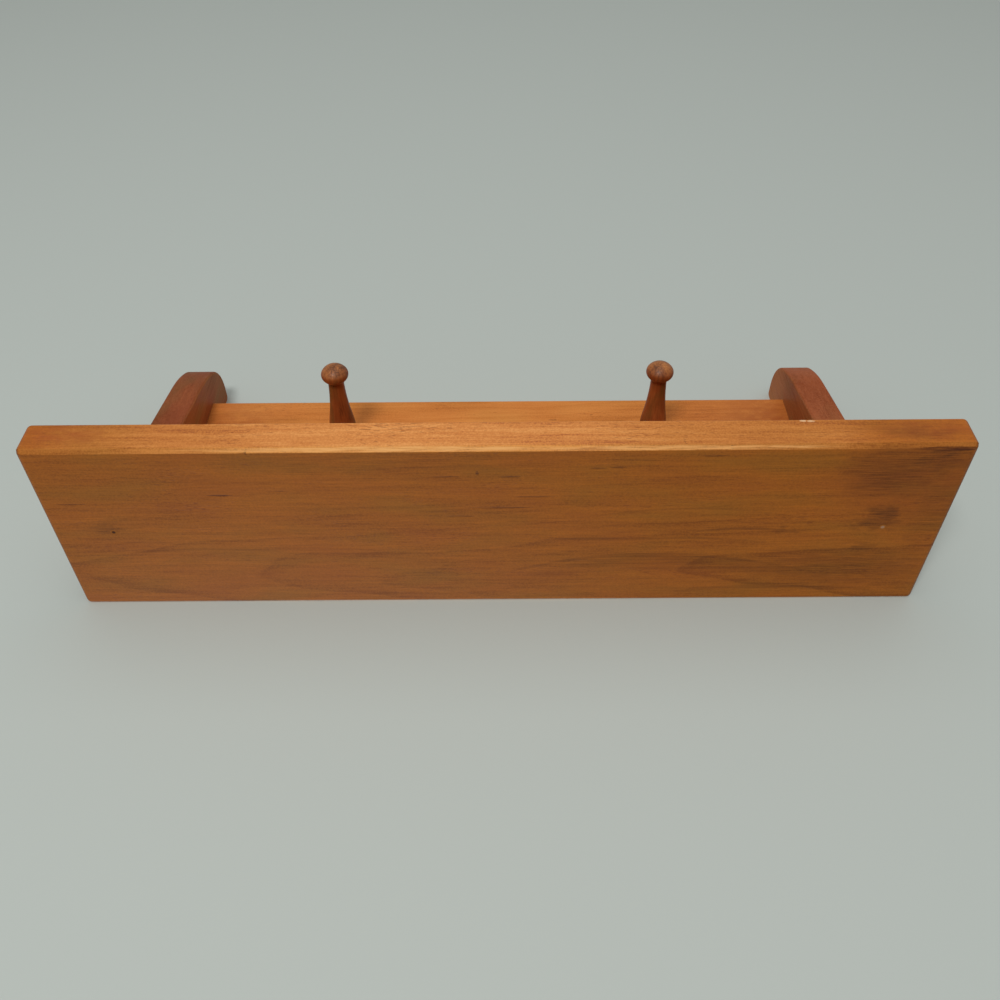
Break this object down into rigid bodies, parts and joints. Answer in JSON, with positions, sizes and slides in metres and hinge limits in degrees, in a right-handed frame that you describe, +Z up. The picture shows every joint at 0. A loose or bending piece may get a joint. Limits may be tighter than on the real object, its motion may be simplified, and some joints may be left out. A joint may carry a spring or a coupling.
{
  "type": "shaker peg rail with shelf",
  "caption": "Wooden wall shelf on curved brackets, with a plain back rail carrying turned pegs to hang things on.",
  "frame": {"origin": "on the wall behind the rail, at mid length and at the height of the two hanging screws, 50 mm under the shelf", "axes": "+X along the shelf to the right as seen from the room, +Y into the wall, +Z up"},
  "size_m": [0.4604, 0.1143, 0.1801],
  "materials": {
    "board_wood": "golden brown stain, satin",
    "bracket_wood": "brown stain, satin",
    "peg_wood": "dark red-brown stain, satin",
    "nail_steel": "bright drawn wire",
    "wood_filler": "dull filler"
  },
  "bodies": {
    "root": {"shelf_board": "board_wood", "peg_rail": "board_wood", "bracket_left": "bracket_wood", "bracket_right": "bracket_wood", "peg_left": "peg_wood", "peg_right": "peg_wood", "shelf_nails": "nail_steel", "rail_nails": "nail_steel", "shelf_nail_filler": "wood_filler", "bracket_nail_filler": "wood_filler"}
  },
  "joints": []
}
